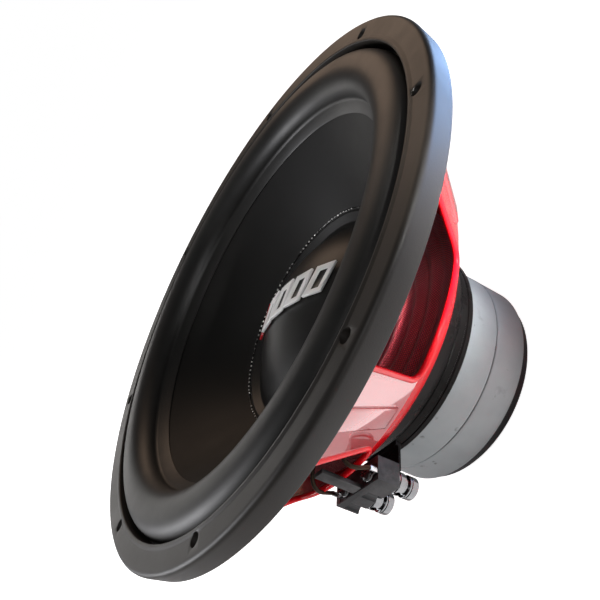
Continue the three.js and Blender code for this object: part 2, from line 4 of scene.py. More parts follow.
import bpy
from mathutils import Matrix, Vector
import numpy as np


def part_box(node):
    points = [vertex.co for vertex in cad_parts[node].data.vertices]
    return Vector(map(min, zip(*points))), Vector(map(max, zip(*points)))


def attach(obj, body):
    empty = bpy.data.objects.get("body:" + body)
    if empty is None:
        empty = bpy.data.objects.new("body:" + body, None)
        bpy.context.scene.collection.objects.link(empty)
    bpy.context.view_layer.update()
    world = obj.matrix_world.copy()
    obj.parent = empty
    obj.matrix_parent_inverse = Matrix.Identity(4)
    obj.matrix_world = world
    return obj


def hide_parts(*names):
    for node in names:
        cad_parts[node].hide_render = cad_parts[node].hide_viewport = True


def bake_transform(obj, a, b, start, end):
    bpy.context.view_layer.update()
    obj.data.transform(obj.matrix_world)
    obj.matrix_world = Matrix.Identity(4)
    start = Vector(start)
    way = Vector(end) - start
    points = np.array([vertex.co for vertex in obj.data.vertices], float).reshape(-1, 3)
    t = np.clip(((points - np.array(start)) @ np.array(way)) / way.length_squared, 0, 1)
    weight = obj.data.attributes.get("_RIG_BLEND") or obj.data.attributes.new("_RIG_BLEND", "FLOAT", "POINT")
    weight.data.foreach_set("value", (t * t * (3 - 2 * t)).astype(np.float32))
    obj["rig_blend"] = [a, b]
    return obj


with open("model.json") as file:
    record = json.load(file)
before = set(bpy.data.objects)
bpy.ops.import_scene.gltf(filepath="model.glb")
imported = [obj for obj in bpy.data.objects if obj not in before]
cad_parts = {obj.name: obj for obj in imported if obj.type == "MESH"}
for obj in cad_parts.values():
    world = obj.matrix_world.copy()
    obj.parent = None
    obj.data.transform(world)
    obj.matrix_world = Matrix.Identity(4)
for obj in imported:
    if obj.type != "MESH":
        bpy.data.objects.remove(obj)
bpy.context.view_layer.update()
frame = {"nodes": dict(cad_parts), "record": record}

# A 12-inch car subwoofer standing on its magnet. +Z runs along the speaker's axis, out of the
# cone. Sizes are metres; profiles are (radius, height) pairs, with a fillet as a third number.
MM = 0.001
FULL_TURN = 2 * math.pi
BASKET, CONE = "basket_body", "cone_body"


def low(node):
    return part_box(node)[0]


def high(node):
    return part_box(node)[1]


def polar(radius, angle):
    return radius * math.cos(angle), radius * math.sin(angle)


# ---- places read from the frame --------------------------------------------------------------

trim_crown = 0.6 * MM
trim_outer = high("trim_ring").x
trim_top = high("trim_ring").z
trim_face = trim_top - trim_crown
trim_foot = low("trim_ring").z - 0.5 * MM
plate_top = high("top_plate").z
plate_foot = low("top_plate").z
basket_foot = low("basket").z
flange_outer = high("basket").x
flange_face = high("basket").z
steel = 1.6 * MM
flange_rear = flange_face - steel
trim_seat = flange_face + 0.3 * MM
cone_rim = high("cone").z

spoke_count = 6
spoke_phase = 16
spoke_step = 360 / spoke_count
window_phase = spoke_phase + spoke_step / 2
bolt_count = 8
bolt_circle = trim_outer - 10 * MM
bolt_bearings = [FULL_TURN * k / bolt_count for k in range(bolt_count)]

# ---- camera ----------------------------------------------------------------------------------

view_elevation = math.radians(21.51)
view_roll = math.radians(-63.79)
view_distance = 421.3 * MM
view_slide_right = 32.0 * MM
view_slide_up = -10.9 * MM
view_lens = 47.07


def camera():
    back = Vector((0, -math.cos(view_elevation), math.sin(view_elevation)))
    level = Vector((1, 0, 0))
    upright = Vector((0, math.sin(view_elevation), math.cos(view_elevation)))
    right = level * math.cos(view_roll) + upright * math.sin(view_roll)
    up = upright * math.cos(view_roll) - level * math.sin(view_roll)
    place = back * view_distance + right * view_slide_right + up * view_slide_up
    place.z += trim_face
    lens = bpy.data.cameras.new("camera")
    lens.lens = view_lens
    lens.clip_start = 0.01
    eye = bpy.data.objects.new("camera", lens)
    bpy.context.scene.collection.objects.link(eye)
    turn = Matrix((right, up, back)).transposed().to_4x4()
    eye.matrix_world = Matrix.Translation(place) @ turn
    bpy.context.scene.camera = eye


camera()

# ---- ways of shaping -------------------------------------------------------------------------


def nothing_selected():
    if bpy.context.object and bpy.context.object.mode != "OBJECT":
        bpy.ops.object.mode_set(mode="OBJECT")
    bpy.ops.object.select_all(action="DESELECT")


def only(piece):
    nothing_selected()
    piece.select_set(True)
    bpy.context.view_layer.objects.active = piece


def in_edit(piece):
    only(piece)
    bpy.ops.object.mode_set(mode="EDIT")
    bpy.ops.mesh.select_all(action="SELECT")


def in_object():
    bpy.ops.object.mode_set(mode="OBJECT")


def settle(piece):
    """Puts the piece's place and turn into its mesh."""
    only(piece)
    bpy.ops.object.transform_apply(location=True, rotation=True, scale=True)
    return piece


def tidy(piece, weld=1e-6):
    in_edit(piece)
    bpy.ops.mesh.remove_doubles(threshold=weld)
    bpy.ops.mesh.normals_make_consistent(inside=False)
    in_object()
    return piece


def smooth(piece, angle=32):
    only(piece)
    bpy.ops.object.shade_smooth_by_angle(angle=math.radians(angle))
    return piece


def apply(piece, kind, **settings):
    only(piece)
    modifier = piece.modifiers.new(kind.lower(), kind)
    for name, value in settings.items():
        setattr(modifier, name, value)
    bpy.ops.object.modifier_apply(modifier=modifier.name)
    return piece


def soften(piece, width, segments=2, angle=40):
    return apply(piece, "BEVEL", width=width, segments=segments, limit_method="ANGLE",
                 angle_limit=math.radians(angle), harden_normals=False)


def cut(piece, *cutters):
    for cutter in cutters:
        apply(piece, "BOOLEAN", operation="DIFFERENCE", object=cutter, solver="EXACT")
        bpy.data.objects.remove(cutter)
    return piece


def joined(name, pieces):
    nothing_selected()
    for piece in pieces:
        piece.select_set(True)
    bpy.context.view_layer.objects.active = pieces[0]
    bpy.ops.object.join()
    pieces[0].name = name
    return pieces[0]


def bend(start, corner, end, steps):
    """Points along the curve that rounds a corner off."""
    shares = [k / steps for k in range(steps + 1)]
    return [start * (1 - t) ** 2 + corner * 2 * t * (1 - t) + end * t * t for t in shares]


def filleted(profile, steps=5):
    """Rounds the corners of a profile whose points carry a fillet radius."""
    path = []
    for i, point in enumerate(profile):
        here = Vector(point[:2])
        if len(point) < 3 or i in (0, len(profile) - 1):
            path.append(here)
            continue
        to_last = (Vector(profile[i - 1][:2]) - here)
        to_next = (Vector(profile[i + 1][:2]) - here)
        half = to_last.angle(to_next) / 2
        run = min(point[2] / math.tan(half), to_last.length * 0.49, to_next.length * 0.49)
        start, end = here + to_last.normalized() * run, here + to_next.normalized() * run
        path += bend(start, here, end, steps)
    return path


def walled(path, wall):
    """A closed profile: the path, and back along it moved square to itself by the wall."""
    path = [Vector(p[:2]) for p in path]
    far = []
    for i, here in enumerate(path):
        last, after = path[max(i - 1, 0)], path[min(i + 1, len(path) - 1)]
        run = (after - last).normalized()
        far.append(here + Vector((run.y, -run.x)) * wall)
    return path + far[::-1]


def turned(name, profile, steps=160, closed=True, smooth_angle=32):
    """Extrudes one point along the profile and spins it about the axis."""
    profile = [Vector(p[:2]) for p in profile]
    nothing_selected()
    bpy.ops.mesh.primitive_plane_add(size=MM, location=(0, 0, 0))
    piece = bpy.context.object
    piece.name = name
    bpy.ops.object.mode_set(mode="EDIT")
    bpy.ops.mesh.select_all(action="SELECT")
    bpy.ops.mesh.merge(type="CENTER")
    bpy.ops.transform.translate(value=(profile[0].x, 0, profile[0].y))
    stops = profile[1:] + ([profile[0]] if closed else [])
    last = profile[0]
    for here in stops:
        step = here - last
        bpy.ops.mesh.extrude_region_move(TRANSFORM_OT_translate={"value": (step.x, 0, step.y)})
        last = here
    bpy.ops.mesh.select_all(action="SELECT")
    bpy.ops.mesh.remove_doubles(threshold=1e-7)
    bpy.ops.mesh.select_all(action="SELECT")
    bpy.ops.mesh.spin(steps=steps, angle=FULL_TURN, center=(0, 0, 0), axis=(0, 0, 1))
    in_object()
    tidy(piece, 2e-6)
    return smooth(piece, smooth_angle)


def rod(name, radius, foot, top, sides=32, place=(0, 0)):
    nothing_selected()
    bpy.ops.mesh.primitive_cylinder_add(vertices=sides, radius=radius, depth=top - foot,
                                        location=(place[0], place[1], (foot + top) / 2))
    piece = bpy.context.object
    piece.name = name
    return settle(piece)


def brick(name, x, y, z):
    nothing_selected()
    bpy.ops.mesh.primitive_cube_add(size=1, location=[(a + b) / 2 for a, b in (x, y, z)])
    piece = bpy.context.object
    piece.name = name
    piece.scale = [b - a for a, b in (x, y, z)]
    return settle(piece)


def tube(name, points, radius, closed=False, sides=4, resolution=1, smooth_path=False):
    """A round tube along points, as a mesh."""
    run = bpy.data.curves.new(name, "CURVE")
    run.dimensions = "3D"
    run.bevel_depth = radius
    run.bevel_resolution = sides
    run.resolution_u = resolution
    run.use_fill_caps = not closed
    kind = "NURBS" if smooth_path else "POLY"
    spline = run.splines.new(kind)
    spline.points.add(len(points) - 1)
    for point, place in zip(spline.points, points):
        point.co = (*place, 1)
    spline.use_cyclic_u = closed
    if smooth_path:
        spline.order_u = 4
        spline.use_endpoint_u = not closed
    piece = bpy.data.objects.new(name, run)
    bpy.context.scene.collection.objects.link(piece)
    only(piece)
    bpy.ops.object.convert(target="MESH")
    piece = bpy.context.object
    piece.name = name
    tidy(piece)
    return smooth(piece, 60)


def refined(node, name, bevel, segments=2, angle=30):
    """A copy of a CAD node with merged faces and softened edges."""
    source = frame["nodes"][node]
    piece = source.copy()
    piece.data = source.data.copy()
    piece.parent = None
    piece.matrix_world = Matrix.Identity(4)
    for key in list(piece.keys()):
        if key.startswith("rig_"):
            del piece[key]
    piece.name = name
    piece.data.materials.clear()
    bpy.context.scene.collection.objects.link(piece)
    piece.hide_render = piece.hide_viewport = False
    in_edit(piece)
    bpy.ops.mesh.remove_doubles(threshold=5e-6)
    bpy.ops.mesh.dissolve_limited(angle_limit=math.radians(4))
    bpy.ops.mesh.normals_make_consistent(inside=False)
    in_object()
    soften(piece, bevel, segments, angle)
    return smooth(piece, 35)


def coat(piece, slot):
    """Gives all of a piece one finish."""
    piece.data.materials.clear()
    piece.data.materials.append(FINISH[slot])


def repaint(piece, slot, faces):
    """Gives some of a piece's faces one more finish."""
    piece.data.materials.append(FINISH[slot])
    index = len(piece.data.materials) - 1
    for face in faces:
        face.material_index = index


def fit(piece, body, slot, *nodes):
    """Gives a piece its finish and its body, and hides the nodes that it stands for."""
    coat(piece, slot)
    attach(piece, body)
    if nodes:
        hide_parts(*nodes)
    return piece


# ---- shader groups ---------------------------------------------------------------------------


class Board:
    """A node tree with short calls for adding and linking nodes."""

    def __init__(self, tree):
        self.tree = tree

    def add(self, kind, settings=None, **inputs):
        node = self.tree.nodes.new(kind)
        for name, value in (settings or {}).items():
            setattr(node, name, value)
        for name, value in inputs.items():
            self.plug(node, name.replace("_", " "), value)
        return node

    def plug(self, node, name, value):
        """Sets or links an input, given by its name or as i0, i1, i2."""
        numbered = name[0] == "i" and name[1:].isdigit()
        socket = node.inputs[int(name[1:]) if numbered else name]
        if isinstance(value, bpy.types.NodeSocket):
            self.tree.links.new(value, socket)
        else:
            socket.default_value = value

    def sums(self, operation, a, b=0.0, limit=False):
        node = self.add("ShaderNodeMath", {"operation": operation, "use_clamp": limit}, i0=a, i1=b)
        return node.outputs[0]

    def times(self, a, b, limit=False):
        return self.sums("MULTIPLY", a, b, limit)

    def plus(self, a, b, limit=False):
        return self.sums("ADD", a, b, limit)

    def wave(self, value, turns):
        """The sine of the value times the turns."""
        return self.sums("SINE", self.times(value, turns))

    def split(self, where):
        return self.add("ShaderNodeSeparateXYZ", Vector=where).outputs

    def noise(self, where, scale, detail=3.0, rough=0.5):
        node = self.add("ShaderNodeTexNoise", Vector=where, Scale=scale, Detail=detail,
                        Roughness=rough)
        return node.outputs["Fac"]

    def span(self, value, low_in, high_in, low_out=0.0, high_out=1.0):
        node = self.add("ShaderNodeMapRange", i0=value, i1=low_in, i2=high_in, i3=low_out,
                        i4=high_out)
        return node.outputs[0]

    def blend(self, mask, a, b):
        node = self.tree.nodes.new("ShaderNodeMix")
        node.data_type = "RGBA"
        for index, value in ((0, mask), (6, a), (7, b)):
            if isinstance(value, bpy.types.NodeSocket):
                self.tree.links.new(value, node.inputs[index])
            else:
                node.inputs[index].default_value = value
        return node.outputs[2]


def shader_group(name, inputs, outputs, build):
    tree = bpy.data.node_groups.new(name, "ShaderNodeTree")
    for label, kind, value in inputs:
        socket = tree.interface.new_socket(name=label, in_out="INPUT", socket_type=kind)
        if value is not None:
            socket.default_value = value
    for label, kind in outputs:
        tree.interface.new_socket(name=label, in_out="OUTPUT", socket_type=kind)
    board = Board(tree)
    entry = tree.nodes.new("NodeGroupInput").outputs
    leave = tree.nodes.new("NodeGroupOutput").inputs
    for label, socket in build(board, entry).items():
        tree.links.new(socket, leave[label])
    return tree


def grain_build(board, entry):
    fine = board.noise(entry["Where"], entry["Scale"], 2.0, 0.6)
    cells = board.add("ShaderNodeTexVoronoi", Vector=entry["Where"], Scale=entry["Scale"])
    pebbles = cells.outputs["Distance"]
    return {"Height": board.plus(board.times(fine, 0.6), board.times(pebbles, 0.4))}


def tone_build(board, entry):
    wide = board.noise(entry["Where"], entry["Scale"], 4.0, 0.55)
    fine = board.noise(entry["Where"], board.times(entry["Scale"], 9.0), 2.0)
    both = board.plus(board.times(wide, 0.7), board.times(fine, 0.3))
    return {"Tone": board.span(both, 0.32, 0.68)}


def wear_build(board, entry):
    ridge = board.add("ShaderNodeNewGeometry").outputs["Pointiness"]
    sharp = board.span(ridge, 0.515, 0.60)
    breakup = board.span(board.noise(entry["Where"], 180.0, 4.0, 0.7), 0.38, 0.62)
    return {"Mask": board.times(board.times(sharp, breakup), entry["Amount"], True)}


def dust_build(board, entry):
    normal = board.add("ShaderNodeNewGeometry").outputs["Normal"]
    upward = board.span(board.split(normal)["Z"], 0.1, 1.0)
    patches = board.span(board.noise(entry["Where"], 22.0, 5.0, 0.6), 0.42, 0.72)
    specks = board.span(board.noise(entry["Where"], 1400.0, 1.0), 0.66, 0.74)
    loose = board.plus(board.times(patches, 0.5), specks)
    return {"Mask": board.times(board.times(upward, loose), entry["Amount"], True)}


WHERE = ("Where", "NodeSocketVector", None)
GRAIN = shader_group("surface_grain", [WHERE, ("Scale", "NodeSocketFloat", 900.0)],
                     [("Height", "NodeSocketFloat")], grain_build)
TONE = shader_group("colour_drift", [WHERE, ("Scale", "NodeSocketFloat", 18.0)],
                    [("Tone", "NodeSocketFloat")], tone_build)
WEAR = shader_group("edge_wear", [WHERE, ("Amount", "NodeSocketFloat", 0.5)],
                    [("Mask", "NodeSocketFloat")], wear_build)
DUST = shader_group("settled_dust", [WHERE, ("Amount", "NodeSocketFloat", 0.2)],
                    [("Mask", "NodeSocketFloat")], dust_build)

# ---- finishes --------------------------------------------------------------------------------

FINISH = {}


def rgb(r, g, b):
    return (r, g, b, 1.0)


def group_node(board, group, **inputs):
    node = board.tree.nodes.new("ShaderNodeGroup")
    node.node_tree = group
    for name, value in inputs.items():
        board.plug(node, name, value)
    return node.outputs[0]


def finish(slot, dark, light, rough, drift=18.0, grain=(900.0, 0.06), wear=None, dust=0.0,
           pattern=None, **sockets):
    """A finish whose colour drifts between two tones, with grain, edge wear and dust."""
    material = bpy.data.materials.new(slot)
    material.use_nodes = True
    board = Board(material.node_tree)
    shader = material.node_tree.nodes["Principled BSDF"]
    where = board.add("ShaderNodeTexCoord").outputs["Object"]
    tone = group_node(board, TONE, Where=where, Scale=drift)
    colour = board.blend(tone, rgb(*dark), rgb(*light))
    roughness = board.span(tone, 0.0, 1.0, rough[0], rough[1])
    height = group_node(board, GRAIN, Where=where, Scale=grain[0])
    if pattern:
        colour, roughness, height = pattern(board, where, colour, roughness, height)
    if wear:
        amount, worn = wear
        bare = group_node(board, WEAR, Where=where, Amount=amount)
        colour = board.blend(bare, colour, rgb(*worn))
    if dust:
        settled = group_node(board, DUST, Where=where, Amount=dust)
        colour = board.blend(settled, colour, rgb(0.30, 0.27, 0.24))
        roughness = board.plus(roughness, board.times(settled, 0.4), True)
    bump = board.add("ShaderNodeBump", Height=height, Strength=grain[1], Distance=0.0004)
    for name, value in sockets.items():
        shader.inputs[name.replace("_", " ")].default_value = value
    board.plug(shader, "Base Color", colour)
    board.plug(shader, "Roughness", roughness)
    board.plug(shader, "Normal", bump.outputs[0])
    FINISH[slot] = material
    return material


def round_the_axis(board, where):
    """Radius from the axis and the bearing in turns."""
    parts = board.split(where)
    bearing = board.sums("DIVIDE", board.sums("ARCTAN2", parts["Y"], parts["X"]), FULL_TURN)
    square = board.plus(board.times(parts["X"], parts["X"]), board.times(parts["Y"], parts["Y"]))
    return board.sums("SQRT", square), bearing


def cloth_weave(board, where, colour, roughness, height):
    """Woven cloth that follows the rings: bright thread tops over dark gaps."""
    threads_round, thread_gap = 300, 1.25 * MM
    radius, bearing = round_the_axis(board, where)
    warp = board.wave(bearing, FULL_TURN * threads_round)
    weft = board.wave(radius, FULL_TURN / thread_gap)
    knot = board.span(board.times(warp, weft), -0.75, 0.75)
    colour = board.blend(knot, rgb(0.10, 0.004, 0.008), colour)
    return colour, roughness, board.plus(knot, board.times(height, 0.2))


def bead_glints(board, where, colour, roughness, height):
    """Short pale dashes in runs along the glue bead: painted glints."""
    glints_round = 130
    bearing = round_the_axis(board, where)[1]
    glint_rows = board.span(board.wave(bearing, FULL_TURN * glints_round), 0.35, 0.55)
    painted_glint = board.times(glint_rows, board.span(board.noise(where, 60.0), 0.42, 0.50))
    return board.blend(painted_glint, colour, rgb(0.85, 0.83, 0.80)), roughness, board.plus(height, painted_glint)


def ferrite_chips(board, where, colour, roughness, height):
    """Small dark chips, and grime in patches."""
    ragged = board.add("ShaderNodeTexNoise", Vector=where, Scale=420.0, Detail=3.0)
    shaken = board.add("ShaderNodeVectorMath", {"operation": "MULTIPLY_ADD"},
                       i0=ragged.outputs["Color"], i1=(0.004, 0.004, 0.004), i2=where)
    cells = board.add("ShaderNodeTexVoronoi", Vector=shaken.outputs[0], Scale=170.0)
    chance = board.add("ShaderNodeSeparateColor", Color=cells.outputs["Color"]).outputs[0]
    chosen = board.sums("GREATER_THAN", chance, 0.90)
    chip = board.times(chosen, board.span(cells.outputs["Distance"], 0.10, 0.26, 1.0, 0.0))
    grime = board.span(board.noise(where, 60.0, 6.0, 0.7), 0.60, 0.74)
    colour = board.blend(board.times(grime, 0.55), colour, rgb(0.13, 0.14, 0.15))
    colour = board.blend(board.times(chip, 0.8), colour, rgb(0.09, 0.095, 0.10))
    return colour, roughness, board.sums("SUBTRACT", height, chip)


def braid_strands(board, where, colour, roughness, height):
    """Slanted bands for the strands of a braid."""
    bands = board.add("ShaderNodeTexWave", {"bands_direction": "DIAGONAL"}, Vector=where,
                      Scale=900.0)
    strand = bands.outputs["Fac"]
    return board.blend(strand, rgb(0.02, 0.012, 0.008), colour), roughness, strand


def wound_wire(board, where, colour, roughness, height):
    """Turns of wire stacked along the axis."""
    wire = 0.5 * MM
    turn = board.sums("ABSOLUTE", board.wave(board.split(where)["Z"], math.pi / wire))
    return board.blend(turn, rgb(0.12, 0.04, 0.015), colour), roughness, turn


def machined_rings(board, where, colour, roughness, height):
    """Fine tool marks round the axis."""
    feed = 0.22 * MM
    along = board.plus(round_the_axis(board, where)[0], board.split(where)["Z"])
    lines = board.span(board.wave(along, FULL_TURN / feed), -1.0, 1.0)
    return colour, roughness, board.plus(board.times(lines, 0.3), height)


def paint_flow(board, where, colour, roughness, height):
    """Orange peel under the gloss."""
    return colour, roughness, board.noise(where, 260.0, 1.0)


def all_finishes():
    finish("trim_rubber", (0.016, 0.0132, 0.0112), (0.028, 0.0232, 0.019), (0.44, 0.54), drift=14.0,
           grain=(1500.0, 0.10), wear=(0.25, (0.05, 0.045, 0.04)), dust=0.02,
           Specular_IOR_Level=0.5)
    finish("basket_paint", (0.36, 0.002, 0.005), (0.50, 0.003, 0.008), (0.16, 0.24), drift=12.0,
           grain=(260.0, 0.03), pattern=paint_flow, Coat_Weight=1.0, Coat_Roughness=0.03,
           Coat_IOR=2.1, Specular_IOR_Level=0.3)
    # A brighter, less glossy copy of the basket's red: painted light for the window lips and the ledge
    # shelf.
    finish("lit_lip_paint", (0.62, 0.003, 0.008), (0.80, 0.005, 0.012), (0.16, 0.24), drift=12.0,
           grain=(260.0, 0.03), pattern=paint_flow, Coat_Weight=0.3, Coat_Roughness=0.04,
           Coat_IOR=1.4, Specular_IOR_Level=0.1)
    finish("surround_rubber", (0.010, 0.0095, 0.009), (0.018, 0.0168, 0.0155), (0.42, 0.52),
           drift=16.0, grain=(1900.0, 0.08), dust=0.03, Specular_IOR_Level=0.5)
    finish("cone_black", (0.0062, 0.0058, 0.0056), (0.0105, 0.0094, 0.0086), (0.50, 0.60),
           drift=9.0, grain=(1300.0, 0.10), dust=0.015, Specular_IOR_Level=0.28)
    finish("cap_black", (0.007, 0.0066, 0.0064), (0.012, 0.011, 0.0102), (0.36, 0.44), drift=9.0,
           grain=(1500.0, 0.05), dust=0.015, Specular_IOR_Level=0.45)
    # The glue bead carries painted glints: pale dashes from bead_glints.
    finish("bead_glue", (0.010, 0.0095, 0.009), (0.03, 0.028, 0.026), (0.16, 0.30), drift=620.0,
           grain=(420.0, 0.5), pattern=bead_glints, Coat_Weight=0.3)
    finish("badge_silver", (0.80, 0.79, 0.78), (0.92, 0.91, 0.90), (0.30, 0.42), drift=60.0,
           grain=(1400.0, 0.06), wear=(0.3, (0.92, 0.92, 0.92)), Metallic=0.15)
    finish("badge_red", (0.40, 0.008, 0.014), (0.55, 0.012, 0.02), (0.2, 0.3), drift=60.0,
           grain=(900.0, 0.04), wear=(0.3, (0.7, 0.2, 0.2)), Coat_Weight=0.8)
    finish("spider_cloth", (0.80, 0.035, 0.06), (0.95, 0.07, 0.11), (0.7, 0.85), drift=30.0,
           grain=(900.0, 0.9), dust=0.06, pattern=cloth_weave, Sheen_Weight=0.3,
           Specular_IOR_Level=0.25)
    finish("plate_black", (0.004, 0.0036, 0.0034), (0.008, 0.0072, 0.0068), (0.22, 0.34),
           drift=22.0, grain=(700.0, 0.05), wear=(0.3, (0.04, 0.04, 0.04)), Specular_IOR_Level=0.05)
    finish("ferrite", (0.20, 0.225, 0.232), (0.28, 0.305, 0.31), (0.42, 0.55), drift=10.0,
           grain=(800.0, 0.10), wear=(0.5, (0.16, 0.17, 0.18)), pattern=ferrite_chips,
           Specular_IOR_Level=0.45)
    finish("yoke_black", (0.009, 0.009, 0.0095), (0.02, 0.02, 0.021), (0.3, 0.42), drift=26.0,
           grain=(900.0, 0.10), wear=(0.6, (0.22, 0.22, 0.22)), dust=0.1, pattern=machined_rings,
           Metallic=0.3)
    finish("terminal_plastic", (0.012, 0.0125, 0.014), (0.022, 0.023, 0.025), (0.38, 0.5),
           drift=60.0, grain=(1600.0, 0.16), wear=(0.4, (0.09, 0.092, 0.095)), dust=0.06,
           Specular_IOR_Level=0.3)
    finish("chrome", (0.16, 0.164, 0.17), (0.23, 0.234, 0.24), (0.06, 0.14), drift=120.0,
           grain=(900.0, 0.02), wear=(0.25, (0.9, 0.9, 0.9)), Metallic=1.0)
    finish("black_screw", (0.012, 0.012, 0.013), (0.03, 0.03, 0.031), (0.22, 0.34), drift=120.0,
           grain=(1400.0, 0.10), wear=(0.7, (0.35, 0.35, 0.35)), dust=0.1, Metallic=0.7)
    finish("zinc", (0.48, 0.49, 0.50), (0.66, 0.67, 0.67), (0.24, 0.36), drift=120.0,
           grain=(1400.0, 0.08), wear=(0.4, (0.85, 0.85, 0.85)), dust=0.05, pattern=machined_rings,
           Metallic=1.0)
    finish("copper", (0.36, 0.12, 0.04), (0.55, 0.21, 0.08), (0.2, 0.3), drift=60.0,
           grain=(900.0, 0.8), pattern=wound_wire, Metallic=0.9)
    finish("kapton", (0.22, 0.10, 0.02), (0.36, 0.17, 0.04), (0.25, 0.35), drift=60.0,
           grain=(700.0, 0.05), Coat_Weight=0.4)
    finish("braid", (0.07, 0.045, 0.03), (0.16, 0.11, 0.075), (0.28, 0.42), drift=300.0,
           grain=(900.0, 0.9), pattern=braid_strands, Metallic=0.9)
    finish("strip_black", (0.012, 0.0125, 0.0135), (0.024, 0.025, 0.027), (0.45, 0.6), drift=60.0,
           grain=(1500.0, 0.15), wear=(0.4, (0.14, 0.14, 0.14)), dust=0.2)
    finish("aluminium_ring", (0.55, 0.56, 0.57), (0.68, 0.69, 0.70), (0.28, 0.38), drift=60.0,
           grain=(900.0, 0.05), pattern=machined_rings, Metallic=1.0)
    finish("glue_black", (0.010, 0.009, 0.008), (0.022, 0.019, 0.017), (0.3, 0.5), drift=120.0,
           grain=(500.0, 0.4), dust=0.1)


all_finishes()
for part in frame["record"]["subparts"]:
    coat(frame["nodes"][part["node"]], part["material_slot"])

# ---- trim ring and surround ------------------------------------------------------------------

trim_inner = trim_outer - 15.5 * MM
skirt_outer = trim_outer - 1.9 * MM
flange_clear = flange_outer + 0.3 * MM
roll_outer = trim_inner - 1.7 * MM
roll_inner = roll_outer - 26.4 * MM
cone_outer = roll_inner - 0.6 * MM
cone_lip = cone_outer - 5.4 * MM
rubber = 0.9 * MM
glue_gap = 0.3 * MM
neck_radius = 28.35 * MM
cone_neck = low("cone").z + 1.12 * MM
cone_slope = (cone_rim - cone_neck) / (cone_outer - neck_radius)


def cone_height(radius):
    return cone_rim - cone_slope * (cone_outer - radius)


def glued_on_cone(radius):
    """The height of rubber that lies on the cone."""
    return cone_height(radius) + glue_gap + rubber


def trim_ring():
    pocket, step_z, hole = trim_inner + 2.2 * MM, trim_seat + 1.2 * MM, 3.5 * MM
    profile = filleted([
        (trim_inner, step_z),
        (trim_inner, trim_top - 0.2 * MM, 0.7 * MM),
        (trim_inner + 1.5 * MM, trim_top, 0.9 * MM),
        (trim_inner + 3.2 * MM, trim_face, 2.0 * MM),
        (trim_outer - 0.05 * MM, trim_face, 3.0 * MM),
        (skirt_outer, trim_foot, 0.5 * MM),
        (flange_clear, trim_foot, 0.3 * MM),
        (flange_clear, trim_seat),
        (pocket, trim_seat),
        (pocket, step_z),
    ], 6)
    ring = turned("trim_ring_moulding", profile, 192)
    drills = []
    for angle in bolt_bearings:
        place = polar(bolt_circle, angle)
        drills.append(rod("drill", hole, trim_seat - MM, trim_face + 2 * MM, 28, place))
    cut(ring, joined("drills", drills))
    soften(ring, 0.35 * MM, 2, 50)
    smooth(ring, 30)
    fit(ring, BASKET, "trim_rubber", "trim_ring")


def surround_ring():
    lip_z = trim_seat + rubber
    inner_z = glued_on_cone(roll_inner)
    middle, half = (roll_outer + roll_inner) / 2, (roll_outer - roll_inner) / 2
    crest = 12.1 * MM
    path = [(roll_outer + 3.5 * MM, lip_z), (roll_outer + 1.6 * MM, lip_z)]
    arc_steps = 30
    for k in range(arc_steps + 1):
        angle = math.pi * k / arc_steps
        base = lip_z + (inner_z - lip_z) * k / arc_steps
        outer_side = 2 * k < arc_steps
        fullness = 0.76 if outer_side else 0.92
        reach = math.cos(angle) ** fullness if outer_side else math.cos(angle)
        path.append((middle + half * reach, base + crest * math.sin(angle) ** fullness))
    path += [(r, glued_on_cone(r)) for r in (roll_inner - 1.0 * MM, cone_lip + 0.8 * MM)]
    path += [(cone_lip, cone_height(cone_lip) + glue_gap + 0.5 * rubber)]
    ring = turned("surround_roll", walled(path, -rubber), 192, True, 60)
    flexing(ring, "surround_rubber", roll_outer, roll_inner)
    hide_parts("surround")


def flexing(piece, slot, still_radius, moving_radius):
    """The piece is glued to the basket at one radius and to the moving cone at the other."""
    coat(piece, slot)
    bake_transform(piece, BASKET, CONE, (0, 0, 0), (0, 0, 0.01))
    share = piece.data.attributes["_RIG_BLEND"].data
    for vertex in piece.data.vertices:
        radius = math.hypot(vertex.co.x, vertex.co.y)
        t = min(max((still_radius - radius) / (still_radius - moving_radius), 0.0), 1.0)
        share[vertex.index].value = t * t * (3 - 2 * t)


def spider_disc():
    outer, foot = 83.3 * MM, 77.7 * MM
    inner = 26.1 * MM
    flat = inner + 4 * MM
    thick, wave_height = 0.8 * MM, 1.9 * MM
    top = low("spider").z + wave_height + thick / 2
    path = [(outer, top), (foot, top)]
    steps, rolls = 96, 4
    for k in range(1, steps):
        t = k / steps
        swell = math.sin(math.pi * t) ** 0.3
        path.append((foot + (flat - foot) * t,
                     top - wave_height * math.sin(FULL_TURN * rolls * t) * swell))
    path += [(flat, top), (inner, top)]
    disc = turned("spider_disc", walled(path, -thick), 192, True, 60)
    flexing(disc, "spider_cloth", foot, flat)
    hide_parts("spider")


# ---- cone, dust cap and badge ----------------------------------------------------------------

cap_outer = 65 * MM
cap_foot = 6.5 * MM
cap_wall = 1.0 * MM
cap_lift = 1.3 * MM
dome_base = cap_outer - cap_foot
dome_edge = dome_base - 2.2 * MM
dome_low = cone_height(dome_base) + cap_lift
dome_rise = 20.5 * MM
dome_ball = (dome_base ** 2 + dome_rise ** 2) / (2 * dome_rise)


def dome_height(radius):
    return dome_low + dome_rise - dome_ball + math.sqrt(dome_ball ** 2 - radius ** 2)


def cone_shell():
    paper = 1.4 * MM
    radii = [cone_outer, cone_outer - 2 * MM]
    radii += [r * MM for r in (96, 80, 68, 56, 44, 34)] + [neck_radius]
    path = [(radius, cone_height(radius)) for radius in radii]
    shell = turned("cone_shell", walled(path, -paper), 192, True, 40)
    fit(shell, CONE, "cone_black", "cone")


